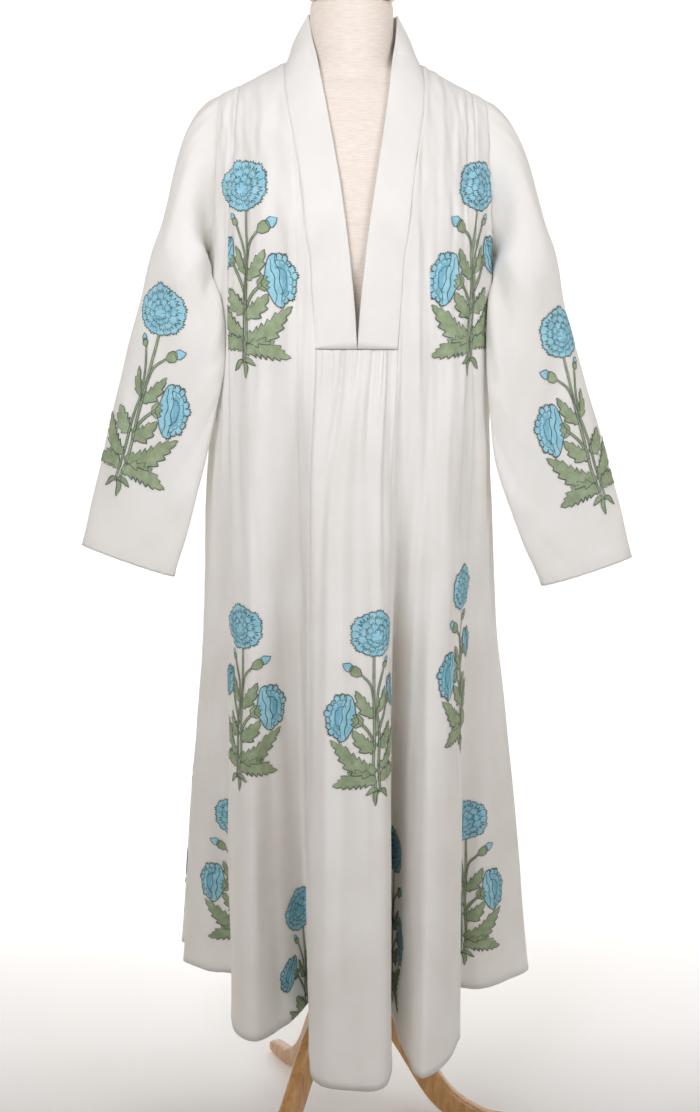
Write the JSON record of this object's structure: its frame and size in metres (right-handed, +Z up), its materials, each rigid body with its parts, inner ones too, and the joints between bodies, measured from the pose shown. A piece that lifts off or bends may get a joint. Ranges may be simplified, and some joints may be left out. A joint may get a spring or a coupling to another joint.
{
  "type": "maxi dress on a dress form",
  "caption": "Long-sleeved cotton maxi dress with deep V shawl neckband and full folded skirt, hanging on a limbless linen dress form with a three-legged wooden stand.",
  "frame": {"origin": "middle of the footprint, on the floor under the stand's feet", "axes": "+Z up, -Y towards the front of the dress, +X towards the wearer's left"},
  "size_m": [0.768, 0.6294, 1.6295],
  "materials": {
    "cotton": "crisp ivory plain weave cotton with block print",
    "linen": "cream linen stretched over the form",
    "wood": "lacquered pale wood"
  },
  "bodies": {
    "root": {"front_centre": "cotton", "front_right": "cotton", "front_left": "cotton", "side_front_right": "cotton", "side_front_left": "cotton", "side_back_right": "cotton", "side_back_left": "cotton", "back_centre": "cotton", "neckband_right": "cotton", "neckband_left": "cotton", "sleeve_right": "cotton", "sleeve_left": "cotton", "torso": "linen", "neck_cap": "wood", "pole": "wood", "hub": "wood", "leg_1": "wood", "leg_2": "wood", "leg_3": "wood"}
  },
  "joints": []
}
